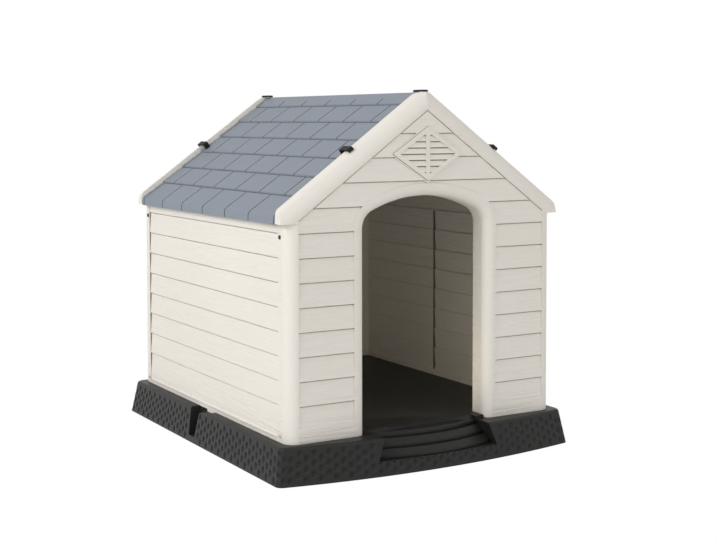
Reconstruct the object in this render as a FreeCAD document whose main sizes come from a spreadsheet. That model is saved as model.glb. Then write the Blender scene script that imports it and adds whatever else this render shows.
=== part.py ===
import FreeCAD, Part
import os
import re

import Sketcher

# A moulded plastic dog house: a two-part base tray, four siding panels, a two-panel shingled
# roof, a louvred gable vent, six roof clips and eight corner screws.
# Millimetres. +Z is up and the doorway faces -Y. The origin is on the floor, under the middle
# of the base tray.

SIZES = {
    # the body of the house
    "house_width": 681.0,        # over the two side walls
    "house_depth": 800.0,        # front wall face to rear wall face
    "wall_thickness": 20.0,
    "panel_depth": 43.0,         # how far the end panels wrap round the corners
    "flange_thickness": 10.0,    # the wrapped part, which laps over the side wall
    "post_radius": 26.0,         # rounding of the corner posts
    "seam_gap": 0.3,             # clearance between neighbouring panels
    "overshoot": 5.0,            # how far cutting shapes reach past what they cut
    # siding
    "siding_pitch": 51.0,
    "first_line": 155.5,         # height of the lowest siding line
    "lap_step": 3.0,             # how far each board stands out over the next one down
    "lap_groove": 2.4,           # shadow groove under each board's lower edge
    "lap_groove_depth": 3.0,
    "post_width": 26.5,          # plain corner strip beside the front boards
    # gable and fascia, whose heights are measured straight up from the groove line
    "roof_angle": 35.9,
    "groove_apex": 766.5,        # where the two groove lines would meet
    "groove_width": 3.0,
    "groove_depth": 4.0,
    "fascia_rise": 50.0,         # crest over the groove line
    "fascia_crest": 24.0,        # crest behind the wall face
    "fascia_back": 26.5,         # its back face, behind the wall face
    "fascia_nose": 18.0,         # radius of the crest
    "fascia_belly": 79.7,        # radius of the long front curve
    "fascia_reach": 355.0,       # half width over the lower ends
    "fascia_end_radius": 18.0,
    "fascia_heel": 22.5,         # flat lower end over the groove line, at the tip
    "apex_radius": 50.0,
    "fascia_sink": 8.0,          # solid below the groove line
    "ledge_reach": 17.0,         # shelf behind the fascia that carries the roof
    # doorway
    "door_half_width": 156.0,
    "door_spring": 515.0,        # height where the jambs start to curve
    "door_rise": 66.0,
    "door_corner": 40.0,
    "frame_width": 27.0,
    "frame_depth": 50.0,
    "frame_round": 20.0,
    # gable vent
    "vent_height": 672.0,        # height of its middle
    "vent_half_width": 88.0,
    "vent_half_height": 58.0,
    "vent_rim": 17.0,            # rim from the outline to the louvres, across
    "vent_proud": 3.0,
    "vent_depth": 14.0,          # spigot through the wall
    "vent_border": 5.0,          # plain wall left round the vent
    "louvre_pitch": 13.3,
    "louvre_count": 7,
    "louvre_recess": 4.0,
    "louvre_slot": 2.4,
    "mullion_width": 10.0,
    # roof
    "roof_rise": 38.0,           # shingle face over the groove line, straight up
    "roof_gap": 1.5,             # between the fascia's back and the shingles
    "roof_thickness": 20.0,
    "ridge_band": 32.0,          # plain band each side of the ridge
    "course_width": 53.0,        # one course, measured level
    "course_count": 5,
    "shingle_step": 3.0,
    "row_groove": 2.4,           # shadow groove along each course
    "row_groove_depth": 3.0,
    "shingle_length": 120.7,
    "joint_width": 3.0,
    "joint_depth": 3.0,
    "roof_reach": 354.0,         # half width over the eaves
    "eave_radius": 14.0,
    "eave_thickness": 10.0,
    "eave_drop": 5.0,            # lower edge of the eave under the roof's underside
    # clips
    "clip_length": 40.0,
    "clip_width": 13.0,
    "clip_thickness": 4.0,
    "clip_foot": 6.0,
    "clip_hook": 4.0,
    "clip_stand": 1.0,           # bridge over the crest
    "clip_set_back": 8.0,        # behind the wall face
    "clip_place": 186.0,         # of the side clips, out from the ridge, level
    # screws
    "screw_radius": 2.2,
    "screw_length": 15.0,
    "head_radius": 4.5,
    "head_height": 2.5,
    "screw_inset": 34.0,         # from the end face of the house
    "screw_low": 92.0,
    "screw_high": 504.0,
    "screw_clearance": 0.2,
    # base tray
    "base_width": 750.0,
    "base_depth": 880.0,
    "base_height": 77.5,
    "base_reach": 60.5,          # front of the tray ahead of the front wall
    "base_bow": 36.0,            # bulge of the front edge
    "skirt_flare": 12.0,
    "tray_corner": 16.0,
    "ledge_round": 6.0,
    "skirt_thickness": 12.0,
    "floor_height": 84.0,        # the raised floor inside
    "floor_thickness": 12.0,
    "floor_gap": 0.5,            # between the raised floor and the walls
    "web_thickness": 6.0,
    "split_place": 426.0,        # joint of the two halves, behind the front face
    "slot_top": 50.0,
    "slot_bottom": 32.0,
    "slot_floor": 14.0,
    "slot_depth": 24.0,
    "tab_width": 46.0,
    "tab_drop": 6.0,
    "tab_place": 383.0,
    # door step
    "step_count": 3,
    "step_half_width": 130.0,    # at the ledge; the recess widens downwards
    "step_flare": 22.0,          # wider at its foot by this at both ends
    "step_rise": 18.0,
    "step_run": 20.0,
    "step_radius": 378.0,        # bow of the top edge
    "step_lip": 7.5,             # top edge behind the wall face
    "step_nose": 8.0,            # rounding-off at the top of each riser
    "step_groove": 3.0,          # undercut at the foot of each riser
    # inside of the side walls
    "rib_place": 446.0,
    "rib_width": 10.0,
    "rib_depth": 5.0,
    "rail_height": 13.0,         # foot rail over the raised floor
    "rail_depth": 4.0,
}

doc = FreeCAD.newDocument("dog_house")
sheet = doc.addObject("Spreadsheet::Sheet", "Sizes")
for row, (alias, number) in enumerate(SIZES.items(), 1):
    sheet.set(f"A{row}", alias)
    sheet.set(f"B{row}", str(number))
    sheet.setAlias(f"B{row}", alias)
doc.recompute()


def sized(formula):
    """The formula with every name that the sheet holds turned into a reference to it."""
    return re.sub(r"[a-z_]+", lambda word: "Sizes." + word[0] if word[0] in SIZES else word[0], str(formula))


def value(formula):
    """What the formula comes to, as a plain number."""
    return float(sheet.evalExpression(sized(formula)))


# Places that several pieces share, as formulas over the sheet.
HALF = "(house_width / 2)"
FRONT = "(base_reach - base_depth / 2)"
REAR = f"({FRONT} + house_depth)"
MIDDLE = f"({FRONT} + house_depth / 2)"
SLOPE = "tan(roof_angle)"
FIELD = f"({HALF} - post_width)"
FOOT = "base_height"
LOW_LINE = "(first_line - siding_pitch)"
BEHIND_BOARDS = f"({FRONT} + lap_step + lap_groove_depth + overshoot)"
UNDERSIDE = "(roof_rise - roof_thickness - seam_gap)"      # of the roof, over the groove line
INNER = f"({HALF} - wall_thickness)"
CROWN = ("((door_half_width ^ 2 + door_rise ^ 2 - 2 * door_half_width * door_corner)"
         " / (2 * (door_rise - door_corner)))")


def under_groove(across, rise="0"):
    """Height at a distance from the ridge, that much above the groove line."""
    return f"(groove_apex + {rise} - ({across}) * {SLOPE})"


def outline(body, plane, corners, offset):
    """A closed sketch on one of the body's own planes, moved along that plane's normal.

    A corner is (across, up), or (across, up, radius) where the edge that leaves it is an arc:
    it bends to the left of its direction of travel if the radius is positive.
    """
    sketch = body.newObject("Sketcher::SketchObject", body.Name + "_outline")
    origin = next(item for item in body.Origin.OriginFeatures if item.Role == plane + "_Plane")
    sketch.AttachmentSupport = [(origin, "")]
    sketch.MapMode = "FlatFace"
    sketch.setExpression("AttachmentOffset.Base.z", sized(offset))
    places = [FreeCAD.Vector(value(corner[0]), value(corner[1]), 0) for corner in corners]
    ends = []
    for index, corner in enumerate(corners):
        start, end = places[index], places[(index + 1) % len(places)]
        if len(corner) == 2:
            sketch.addGeometry(Part.LineSegment(start, end))
            ends.append((1, 2))
            continue
        radius = value(corner[2])
        chord = end - start
        left = FreeCAD.Vector(-chord.y, chord.x, 0).normalize()
        turn = 1 if radius > 0 else -1
        sagitta = abs(radius) - (radius ** 2 - (chord.Length / 2) ** 2) ** 0.5
        middle = start + chord / 2 - left * (turn * sagitta)
        sketch.addGeometry(Part.Arc(start, middle, end))
        ends.append((1, 2) if turn > 0 else (2, 1))
    for index, corner in enumerate(corners):
        following = (index + 1) % len(corners)
        sketch.addConstraint(
            Sketcher.Constraint("Coincident", index, ends[index][1], following, ends[following][0]))
        for kind, formula in (("DistanceX", corner[0]), ("DistanceY", corner[1])):
            pin = sketch.addConstraint(
                Sketcher.Constraint(kind, -1, 1, index, ends[index][0], value(formula)))
            sketch.setExpression(f"Constraints[{pin}]", sized(formula))
        if len(corner) == 3:
            size = sketch.addConstraint(Sketcher.Constraint("Radius", index, abs(value(corner[2]))))
            sketch.setExpression(f"Constraints[{size}]", sized(f"abs({corner[2]})"))
    return sketch


def prism(name, plane, corners, start, end):
    """A body: the outline on the plane, filled from start to end along the plane's row axis."""
    body = doc.addObject("PartDesign::Body", name)
    backwards = plane == "XZ"
    offset = f"-({start})" if backwards else start
    sketch = outline(body, plane, corners, offset)
    pad = body.newObject("PartDesign::Pad", name + "_pad")
    pad.Profile = sketch
    pad.Reversed = backwards
    pad.setExpression("Length", sized(f"({end}) - ({start})"))
    sketch.Visibility = False
    return body


def rectangle(across, up):
    """Corners of a rectangle from its two spans."""
    return [(across[0], up[0]), (across[1], up[0]), (across[1], up[1]), (across[0], up[1])]


def block(name, across, along, up):
    """A body: a box from its three spans."""
    return prism(name, "XY", rectangle(across, along), up[0], up[1])


def fused(name, pieces):
    """The pieces as one solid."""
    union = doc.addObject("Part::MultiFuse", name)
    union.Shapes = pieces
    union.Refine = True
    return union


def cut(name, base, tools):
    """The base less every tool."""
    result = doc.addObject("Part::Cut", name)
    result.Base = base
    result.Tool = tools[0] if len(tools) == 1 else fused(name + "_tools", tools)
    result.Refine = True
    return result


def shared(name, first, second):
    """What the two have in common."""
    result = doc.addObject("Part::Common", name)
    result.Base = first
    result.Tool = second
    return result


def mirrored(name, source, normal, base=None):
    """The source seen in a mirror; base is the mirror's place along Y."""
    result = doc.addObject("Part::Mirroring", name)
    result.Source = source
    result.Normal = normal
    if base:
        result.setExpression("Base.y", sized(base))
    return result


def rounded(name, base, chosen, radius):
    """The base with the chosen edges filleted."""
    doc.recompute()
    size = value(radius)
    result = doc.addObject("Part::Fillet", name)
    result.Base = base
    result.Edges = [(index, size, size)
                    for index, edge in enumerate(base.Shape.Edges, 1) if chosen(edge)]
    return result


ACROSS = FreeCAD.Vector(1, 0, 0)
ALONG = FreeCAD.Vector(0, 1, 0)
SIDES = ("left", "right")


def line_height(count):
    """Height of a siding line, counted from the lowest."""
    return f"(first_line + {count} * siding_pitch)"


def board_end(face, out, top, step, width="0", depth="0"):
    """Corners of one lapped board's upper end: it lies back by the step, under a shadow groove."""
    back, bottom = f"({face}) - ({out}) * {step}", f"({face}) - ({out}) * ({step} + {depth})"
    if width == "0":
        return [(back, top), (face, top)]
    return [(back, f"{top} - {width}"), (bottom, f"{top} - {width}"), (bottom, top), (face, top)]


def saw(face, out, first, pitch, step, count, reach, width="0", depth="0"):
    """Corners of the space in front of lapped boards, whose faces look the way that out says."""
    front = f"({face}) + ({out}) * {reach}"
    corners = [(front, first), (face, first)]
    for board in range(count):
        corners += board_end(face, out, f"({first}) + {board + 1} * {pitch}", step, width, depth)
    corners.append((front, f"({first}) + {count} * {pitch}"))
    return corners


# ---------------------------------------------------------------- front and rear panels

def arch(grow):
    """Corners of the doorway's outline, larger by grow all round, from left foot to right."""
    half = f"(door_half_width + {grow})"
    corner = f"(door_corner + {grow})"
    crown = f"({CROWN} + {grow})"
    top = f"(door_spring + door_rise - {CROWN})"
    share = f"((door_half_width - door_corner) / ({CROWN} - door_corner))"
    lift = f"(({CROWN} - door_rise) / ({CROWN} - door_corner))"
    meet_across = f"({crown} * {share})"
    meet_up = f"({top} + {crown} * {lift})"
    foot = f"({FOOT} - {grow})"
    return [(f"-{half}", foot), (f"{half}", foot), (half, "door_spring", corner),
            (meet_across, meet_up, crown), (f"-{meet_across}", meet_up, corner),
            (f"-{half}", "door_spring")]


def diamond(half_width, half_height):
    """Corners of an upright diamond round the vent's middle."""
    return [(f"-({half_width})", "vent_height"), ("0", f"vent_height - ({half_height})"),
            (half_width, "vent_height"), ("0", f"vent_height + ({half_height})")]


def gable_outline(half, foot, rise="0"):
    """Corners of an end wall with its peak."""
    return [(f"-({half})", foot), (half, foot), (half, under_groove(half, rise)),
            ("0", under_groove("0", rise)), (f"-({half})", under_groove(half, rise))]


def chevron(half, low, high):
    """Corners of a roof-shaped band between two heights over the groove line."""
    return [(f"-({half})", under_groove(half, low)), ("0", under_groove("0", low)),
            (half, under_groove(half, low)), (half, under_groove(half, high)),
            ("0", under_groove("0", high)), (f"-({half})", under_groove(half, high))]


def fascia(name):
    """The fat rounded edge board: one section run down both slopes from the ridge plane."""
    nose_up = "(fascia_rise - fascia_nose)"
    gap = "(fascia_belly - fascia_nose)"
    level = "(fascia_belly - fascia_crest)"
    belly_up = f"({nose_up} - sqrt({gap} ^ 2 - {level} ^ 2))"
    meet_along = f"(fascia_crest - fascia_nose * {level} / {gap})"
    meet_up = f"({nose_up} + fascia_nose * ({nose_up} - {belly_up}) / {gap})"
    back_up = f"({nose_up} + sqrt(fascia_nose ^ 2 - (fascia_back - fascia_crest) ^ 2))"
    section = [("0", "-fascia_sink"), ("panel_depth", "-fascia_sink"), ("panel_depth", UNDERSIDE),
               ("fascia_back", UNDERSIDE), ("fascia_back", back_up, "fascia_nose"),
               ("fascia_crest", "fascia_rise", "fascia_nose"),
               (meet_along, meet_up, "fascia_belly"), ("0", belly_up)]
    section = [(f"{FRONT} + {corner[0]}", f"groove_apex + {corner[1]}") + corner[2:] for corner in section]
    body = doc.addObject("PartDesign::Body", name + "_run")
    sketch = outline(body, "YZ", section, "0")
    pad = body.newObject("PartDesign::Pad", name + "_slope")
    pad.Profile = sketch
    pad.UseCustomVector = True
    pad.Direction = FreeCAD.Vector(1, 0, -value(SLOPE))
    pad.AlongSketchNormal = True
    pad.setExpression("Length", sized("fascia_reach"))
    other = mirrored(name + "_other_slope", body, ACROSS)
    both = fused(name + "_both_slopes", [body, other])
    turn = "fascia_end_radius"
    end_top = under_groove("fascia_reach", "fascia_rise")
    end_low = under_groove("fascia_reach", "fascia_heel")
    drop = "(apex_radius * cos(roof_angle))"
    swing = "(apex_radius * sin(roof_angle))"
    apex_centre = f"(groove_apex + fascia_rise - apex_radius / cos(roof_angle))"
    lean = f"({turn} * sin(roof_angle))"
    end_across = f"(fascia_reach - {turn} + {lean})"
    end_up = f"({end_top} + ({turn} - {lean}) * {SLOPE})"
    end_side = f"({end_up} - {turn} * cos(roof_angle))"
    mask = [("fascia_reach", end_low), ("fascia_reach", end_side, turn), (end_across, end_up),
            (swing, f"{apex_centre} + {drop}", "apex_radius"), (f"-{swing}", f"{apex_centre} + {drop}"),
            (f"-{end_across}", end_up, turn), ("-fascia_reach", end_side),
            ("-fascia_reach", end_low)]
    limit = prism(name + "_limit", "XZ", mask, f"{FRONT} - overshoot", f"{FRONT} + panel_depth + overshoot")
    room = block(name + "_eave_room", (HALF, "fascia_reach + overshoot"),
                 (f"{FRONT} + fascia_back", f"{FRONT} + panel_depth + overshoot"), (FOOT, "groove_apex"))
    rooms = [room, mirrored(name + "_other_room", room, ACROSS)]
    return cut(name, shared(name + "_whole", both, limit), rooms)


def corner_post(name):
    """The rounded corner of an end panel with its flange, on the +X side."""
    section = [(f"{HALF} - post_radius - 2", FRONT),
               (f"{HALF} - post_radius", FRONT, "post_radius"), (HALF, f"{FRONT} + post_radius"),
               (HALF, f"{FRONT} + panel_depth"), (f"{HALF} - flange_thickness", f"{FRONT} + panel_depth"),
               (f"{HALF} - flange_thickness", f"{FRONT} + wall_thickness"),
               (f"{HALF} - post_radius - 2", f"{FRONT} + wall_thickness")]
    return prism(name, "XY", section, FOOT, under_groove(HALF, UNDERSIDE))


def screw_holes(name, grow):
    """Bores for the two screws of the front right corner."""
    tools = []
    for place in ("screw_low", "screw_high"):
        start = f"({HALF} - screw_length - {grow})"
        bore = doc.addObject("Part::Cylinder", f"{name}_{place}")
        bore.Placement.Rotation = FreeCAD.Rotation(ALONG, 90)
        bore.setExpression("Radius", sized(f"screw_radius + {grow}"))
        bore.setExpression("Height", sized(f"{HALF} + overshoot - {start}"))
        bore.setExpression("Placement.Base.x", sized(start))
        bore.setExpression("Placement.Base.y", sized(f"{FRONT} + screw_inset"))
        bore.setExpression("Placement.Base.z", sized(place))
        tools.append(bore)
    return fused(name, tools)


def end_panel(name, has_door):
    """An end wall with its siding, corner posts, fascia and roof shelf, facing -Y."""
    lines = int(value(f"floor((groove_apex - {LOW_LINE}) / siding_pitch)"))
    plate = prism(name + "_plate", "XZ", gable_outline(f"{HALF} - post_radius", FOOT),
                  FRONT, f"{FRONT} + wall_thickness")
    right_post = corner_post(name + "_right_post")
    left_post = mirrored(name + "_left_post", right_post, ACROSS)
    shelf = prism(name + "_shelf", "XZ",
                  chevron(f"{INNER} - seam_gap", "-fascia_sink", UNDERSIDE),
                  f"{FRONT} + wall_thickness - 1", f"{FRONT} + panel_depth + ledge_reach")
    solids = [plate, right_post, left_post, shelf, fascia(name + "_fascia")]
    laps = prism(name + "_laps", "YZ",
                 saw(FRONT, "-1", LOW_LINE, "siding_pitch", "lap_step", lines, "overshoot",
                     "lap_groove", "lap_groove_depth"),
                 f"-{FIELD}", FIELD)
    field = prism(name + "_field", "XZ", gable_outline(FIELD, LOW_LINE), f"{FRONT} - overshoot", BEHIND_BOARDS)
    if has_door:
        solids.append(prism(name + "_frame", "XZ", arch("frame_width")[2:] +
                            [("-(door_half_width + frame_width)", FOOT),
                             ("(door_half_width + frame_width)", FOOT)],
                            FRONT, f"{FRONT} + frame_depth"))
        frame = prism(name + "_frame_face", "XZ", arch("frame_width"), f"{FRONT} - overshoot", BEHIND_BOARDS)
        border = prism(name + "_vent_border", "XZ",
                       diamond("vent_half_width + vent_border", "vent_half_height + vent_border"),
                       f"{FRONT} - overshoot", BEHIND_BOARDS)
        field = cut(name + "_open_field", field, [frame, border])
    groove = prism(name + "_groove", "XZ", chevron(FIELD, "-groove_width", "0"),
                   f"{FRONT} - overshoot", f"{FRONT} + groove_depth")
    right_holes = screw_holes(name + "_right_holes", "screw_clearance")
    left_holes = mirrored(name + "_left_holes", right_holes, ACROSS)
    tools = [shared(name + "_boards", laps, field), groove, right_holes, left_holes]
    if not has_door:
        return cut(name, fused(name + "_blank", solids), tools)
    doorway = prism(name + "_doorway", "XZ", arch("0"), f"{FRONT} - overshoot",
                    f"{FRONT} + frame_depth + overshoot")
    vent_hole = prism(name + "_vent_hole", "XZ",
                      diamond("vent_half_width - vent_rim + 3", "vent_half_height - vent_rim * 2 / 3 + 2"),
                      f"{FRONT} - overshoot", f"{FRONT} + wall_thickness + overshoot")
    cleared = cut(name + "_cleared", fused(name + "_blank", solids), [doorway, vent_hole])
    face, inside = value(FRONT), value("door_half_width") + 0.01

    def is_door_edge(edge):
        box = edge.BoundBox
        on_face = abs(box.YMin - face) < 0.001 and abs(box.YMax - face) < 0.001
        low_enough = box.ZMax < value("door_spring + door_rise") + 0.01
        is_sill = box.ZMax - box.ZMin < 0.01 and box.ZMax < value(FOOT) + 0.01
        return on_face and low_enough and max(abs(box.XMin), abs(box.XMax)) < inside and not is_sill

    soft = rounded(name + "_soft", cleared, is_door_edge, "frame_round")
    return cut(name, soft, tools)


front_wall = end_panel("front_wall", True)
rear_source = end_panel("rear_wall_form", False)
rear_wall = mirrored("rear_wall", rear_source, ALONG, MIDDLE)


# ---------------------------------------------------------------- side walls

def side_wall():
    """The right side wall: lapped boards both outside and in, with tongues for the end panels."""
    def top(across):
        return under_groove(across, UNDERSIDE)

    boards = int(value(f"floor(({under_groove(HALF)} - {LOW_LINE}) / siding_pitch)"))
    outer, inner = [(HALF, FOOT), (HALF, LOW_LINE)], [(INNER, LOW_LINE)]
    for board in range(boards):
        outer += board_end(HALF, "1", line_height(board), "lap_step", "lap_groove", "lap_groove_depth")
        inner += board_end(INNER, "1", line_height(board), "lap_step")
    rail_top = "(floor_height + rail_height)"
    rail = f"({INNER} - rail_depth)"
    inner = inner[::-1] + [(INNER, rail_top), (rail, rail_top), (rail, FOOT)]
    corners = outer + [(HALF, top(HALF)), (INNER, top(INNER))] + inner
    field = prism("side_wall_boards", "XZ", corners, f"{FRONT} + panel_depth + seam_gap",
                  f"{REAR} - panel_depth - seam_gap")
    lapped = f"({HALF} - flange_thickness - seam_gap)"
    tongue_top = "-fascia_sink - seam_gap"
    tongue = prism("side_wall_tongues", "XZ",
                   [(f"{INNER}", FOOT), (lapped, FOOT), (lapped, under_groove(lapped, tongue_top)),
                    (f"{INNER}", under_groove(INNER, tongue_top))],
                   f"{FRONT} + wall_thickness + seam_gap", f"{REAR} - wall_thickness - seam_gap")
    tab = block("side_wall_tab", (f"{HALF} - flange_thickness", HALF),
                (f"{FRONT} + tab_place - tab_width / 2", f"{FRONT} + tab_place + tab_width / 2"),
                (f"{FOOT} - tab_drop", f"{FOOT} + 5"))
    rib = block("side_wall_groove", (f"{INNER} - lap_step - overshoot", f"{INNER} + rib_depth - lap_step"),
                (f"{FRONT} + rib_place", f"{FRONT} + rib_place + rib_width"),
                (LOW_LINE, line_height(boards - 1)))
    bores = screw_holes("side_wall_front_bores", "screw_clearance")
    rear_bores = mirrored("side_wall_rear_bores", bores, ALONG, MIDDLE)
    return cut("right_wall", fused("side_wall_blank", [field, tongue, tab]), [rib, bores, rear_bores])


right_wall = side_wall()
left_wall = mirrored("left_wall", right_wall, ACROSS)


# ---------------------------------------------------------------- gable vent

def gable_vent():
    """A diamond plate with two banks of louvres beside a mullion."""
    rim_up = "(vent_rim * 2 / 3)"
    plate = prism("vent_plate", "XZ", diamond("vent_half_width", "vent_half_height"),
                  f"{FRONT} - vent_proud", FRONT)
    spigot = prism("vent_spigot", "XZ",
                   diamond("vent_half_width - vent_rim + 2", f"vent_half_height - {rim_up} + 1"),
                   FRONT, f"{FRONT} + vent_depth")
    count = int(value("louvre_count"))
    first = f"(vent_height - louvre_pitch * {count / 2 + 0.5})"
    slats = prism("vent_slats", "YZ",
                  saw(f"{FRONT} - vent_proud", "-1", first, "louvre_pitch", "louvre_recess", count + 1,
                      "overshoot"),
                  "-vent_half_width", "vent_half_width")
    window = prism("vent_window", "XZ",
                   diamond("vent_half_width - vent_rim", f"vent_half_height - {rim_up}"),
                   f"{FRONT} - vent_proud - overshoot", f"{FRONT} + vent_depth + overshoot")
    mullion = block("vent_mullion", ("-mullion_width / 2", "mullion_width / 2"),
                    (f"{FRONT} - vent_proud - 2 * overshoot", f"{FRONT} + vent_depth + 2 * overshoot"),
                    ("vent_height - vent_half_height", "vent_height + vent_half_height"))
    window = cut("vent_banks", window, [mullion])
    slots = []
    for row in range(count):
        top = f"({first} + {row + 1} * louvre_pitch)"
        slots.append(block(f"vent_slot_{row}", ("-vent_half_width", "vent_half_width"),
                           (f"{FRONT} - vent_proud - overshoot", f"{FRONT} + vent_depth + overshoot"),
                           (f"{top} - louvre_slot", top)))
    slots = shared("vent_slots", fused("vent_slot_rows", slots), window)
    carved = shared("vent_carving", slats, window)
    return cut("gable_vent", fused("vent_blank", [plate, spigot]), [carved, slots])


vent = gable_vent()


# ---------------------------------------------------------------- roof

def roof_panel():
    """The right slope: a plain ridge band, courses of shingles and a turned-down eave."""
    start, end = f"{FRONT} + fascia_back + roof_gap", f"{REAR} - fascia_back - roof_gap"
    courses = int(value("course_count"))
    drip = under_groove("roof_reach - eave_thickness", "roof_rise - roof_thickness - eave_drop")

    def face(across, down="0"):
        return under_groove(across, f"roof_rise - ({down})")

    def line(count):
        return f"(ridge_band + {count} * course_width)"

    bend = "(roof_reach - eave_radius)"
    bend_up = f"({face('roof_reach')} + (eave_radius - eave_radius * sin(roof_angle)) * {SLOPE})"
    bend_across = f"({bend} + eave_radius * sin(roof_angle))"
    corners = [("seam_gap / 2", face("seam_gap / 2", "roof_thickness")),
               ("roof_reach - eave_thickness", face("roof_reach - eave_thickness", "roof_thickness")),
               ("roof_reach - eave_thickness", drip), ("roof_reach", drip),
               ("roof_reach", f"{bend_up} - eave_radius * cos(roof_angle)", "eave_radius"),
               (bend_across, bend_up)]
    for count in range(courses, -1, -1):
        edge = f"({line(count)} + row_groove)"
        bottom = "shingle_step + row_groove_depth"
        corners += [(edge, face(edge, "shingle_step")), (edge, face(edge, bottom)),
                    (line(count), face(line(count), bottom)), (line(count), face(line(count)))]
    corners.append(("seam_gap / 2", face("seam_gap / 2")))
    body = prism("roof_right", "XZ", corners, start, end)
    reach, shingle = value(f"({MIDDLE}) - ({start})"), value("shingle_length")
    for count in range(-1, courses + 1):
        half_step = 0.5 if (courses - count) % 2 else 0
        joints = 2 * int(reach / shingle - half_step) + (2 if half_step else 1)
        first = f"({MIDDLE} - shingle_length * {(joints - 1) / 2} - joint_width / 2)"
        low = line(count + 1)
        if count < 0:
            high = "(ridge_band / 2)"
            floor = [(low, face(low, "joint_depth")), (low, face(low, "-overshoot")),
                     (high, face(high, "-overshoot")), (high, face(high, "joint_depth"))]
        elif count < courses:
            floor = [(low, face(low, "joint_depth")), (low, face(low, "-overshoot")),
                     (line(count), face(line(count), "-overshoot")),
                     (line(count), face(line(count), "joint_depth + shingle_step"))]
        else:
            beyond, below = "(roof_reach + overshoot)", f"({drip} - overshoot)"
            floor = [(beyond, face(line(count), "-overshoot")), (line(count), face(line(count), "-overshoot")),
                     (line(count), face(line(count), "joint_depth + shingle_step")),
                     (bend, face(bend, "joint_depth")),
                     ("roof_reach - joint_depth", f"{face('roof_reach')} - eave_radius"),
                     ("roof_reach - joint_depth", below), (beyond, below)]
        sketch = outline(body, "XZ", floor, f"-({first})")
        pocket = body.newObject("PartDesign::Pocket", f"joint_{count + 1}")
        pocket.Profile = sketch
        pocket.Reversed = True
        pocket.setExpression("Length", sized("joint_width"))
        row = body.newObject("PartDesign::LinearPattern", f"joints_{count + 1}")
        row.Originals = [pocket]
        row.Direction = (sketch, ["N_Axis"])
        row.Reversed = True
        row.setExpression("Length", sized(f"shingle_length * {joints - 1}"))
        row.Occurrences = joints
        body.Tip = row
    return body


roof_right = roof_panel()
roof_left = mirrored("roof_left", roof_right, ACROSS)


# ---------------------------------------------------------------- roof clips

def clip(name, across, crest, shingles, lean):
    """A black bridge over the fascia's crest, from its face back to the shingles.

    Crest and shingles are heights over the groove line, and lean is 1 for a clip that tilts with
    the right slope and 0 for one on the ridge.
    """
    foot = f"(({crest} - ({shingles})) * {'cos(roof_angle)' if lean else 1} + clip_stand - seam_gap)"
    hook = "clip_hook" if lean else "(clip_stand - seam_gap)"
    profile = [("0", f"-{hook}"), ("clip_foot / 2", f"-{hook}"), ("clip_foot / 2", "0"),
               ("clip_length - clip_foot", "0"), ("clip_length - clip_foot", f"-{foot}"),
               ("clip_length", f"-{foot}"), ("clip_length", "clip_thickness / 2"),
               ("clip_length - clip_foot / 2", "clip_thickness"), ("clip_foot / 2", "clip_thickness"),
               ("0", "clip_thickness / 2")]
    body = prism(name, "YZ", profile, "-clip_width / 2", "clip_width / 2")
    if lean:
        body.Placement.Rotation = FreeCAD.Rotation(ALONG, value("roof_angle"))
        body.setExpression("Placement.Rotation.Angle", sized("roof_angle * 1 deg"))
    stand = "clip_stand * sin(roof_angle)"
    raised = "clip_stand * cos(roof_angle)" if lean else "clip_stand"
    body.setExpression("Placement.Base.x", sized(f"{lean} * ({across} + {stand})"))
    body.setExpression("Placement.Base.y", sized(f"{FRONT} + clip_set_back"))
    body.setExpression("Placement.Base.z", sized(f"{under_groove(across, crest)} + {raised}"))
    return body


APEX_CREST = "(fascia_rise + apex_radius - apex_radius / cos(roof_angle))"
clips = {"clip_front_ridge": clip("clip_front_ridge", "0", f"max({APEX_CREST}; roof_rise)", "roof_rise", 0),
         "clip_front_right": clip("clip_front_right", "clip_place", "fascia_rise", "roof_rise", 1)}
clips["clip_front_left"] = mirrored("clip_front_left", clips["clip_front_right"], ACROSS)
for place in ("ridge", "left", "right"):
    clips[f"clip_rear_{place}"] = mirrored(f"clip_rear_{place}", clips[f"clip_front_{place}"], ALONG, MIDDLE)


# ---------------------------------------------------------------- corner screws

def screw_pair(name):
    """The two screws that hold the front panel's flange to the right wall."""
    pair = []
    for place in ("screw_low", "screw_high"):
        parts = []
        for part, radius, start, length in (
                ("shank", "screw_radius", f"{HALF} - screw_length", "screw_length"),
                ("head", "head_radius", HALF, "head_height")):
            rod = doc.addObject("Part::Cylinder", f"{name}_{place}_{part}")
            rod.Placement.Rotation = FreeCAD.Rotation(ALONG, 90)
            rod.setExpression("Radius", sized(radius))
            rod.setExpression("Height", sized(length))
            rod.setExpression("Placement.Base.x", sized(start))
            rod.setExpression("Placement.Base.y", sized(f"{FRONT} + screw_inset"))
            rod.setExpression("Placement.Base.z", sized(place))
            parts.append(rod)
        pair.append(fused(f"{name}_{place}", parts))
    both = doc.addObject("Part::Compound", name)
    both.Links = pair
    return both


screws = {"screws_front_right": screw_pair("screws_front_right")}
screws["screws_front_left"] = mirrored("screws_front_left", screws["screws_front_right"], ACROSS)
for side in SIDES:
    screws[f"screws_rear_{side}"] = mirrored(f"screws_rear_{side}", screws[f"screws_front_{side}"],
                                             ALONG, MIDDLE)


# ---------------------------------------------------------------- base tray

LEDGE_TURNS = (0, 30, 60, 90)      # degrees of the ledge's rounding where its sections stand


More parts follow.
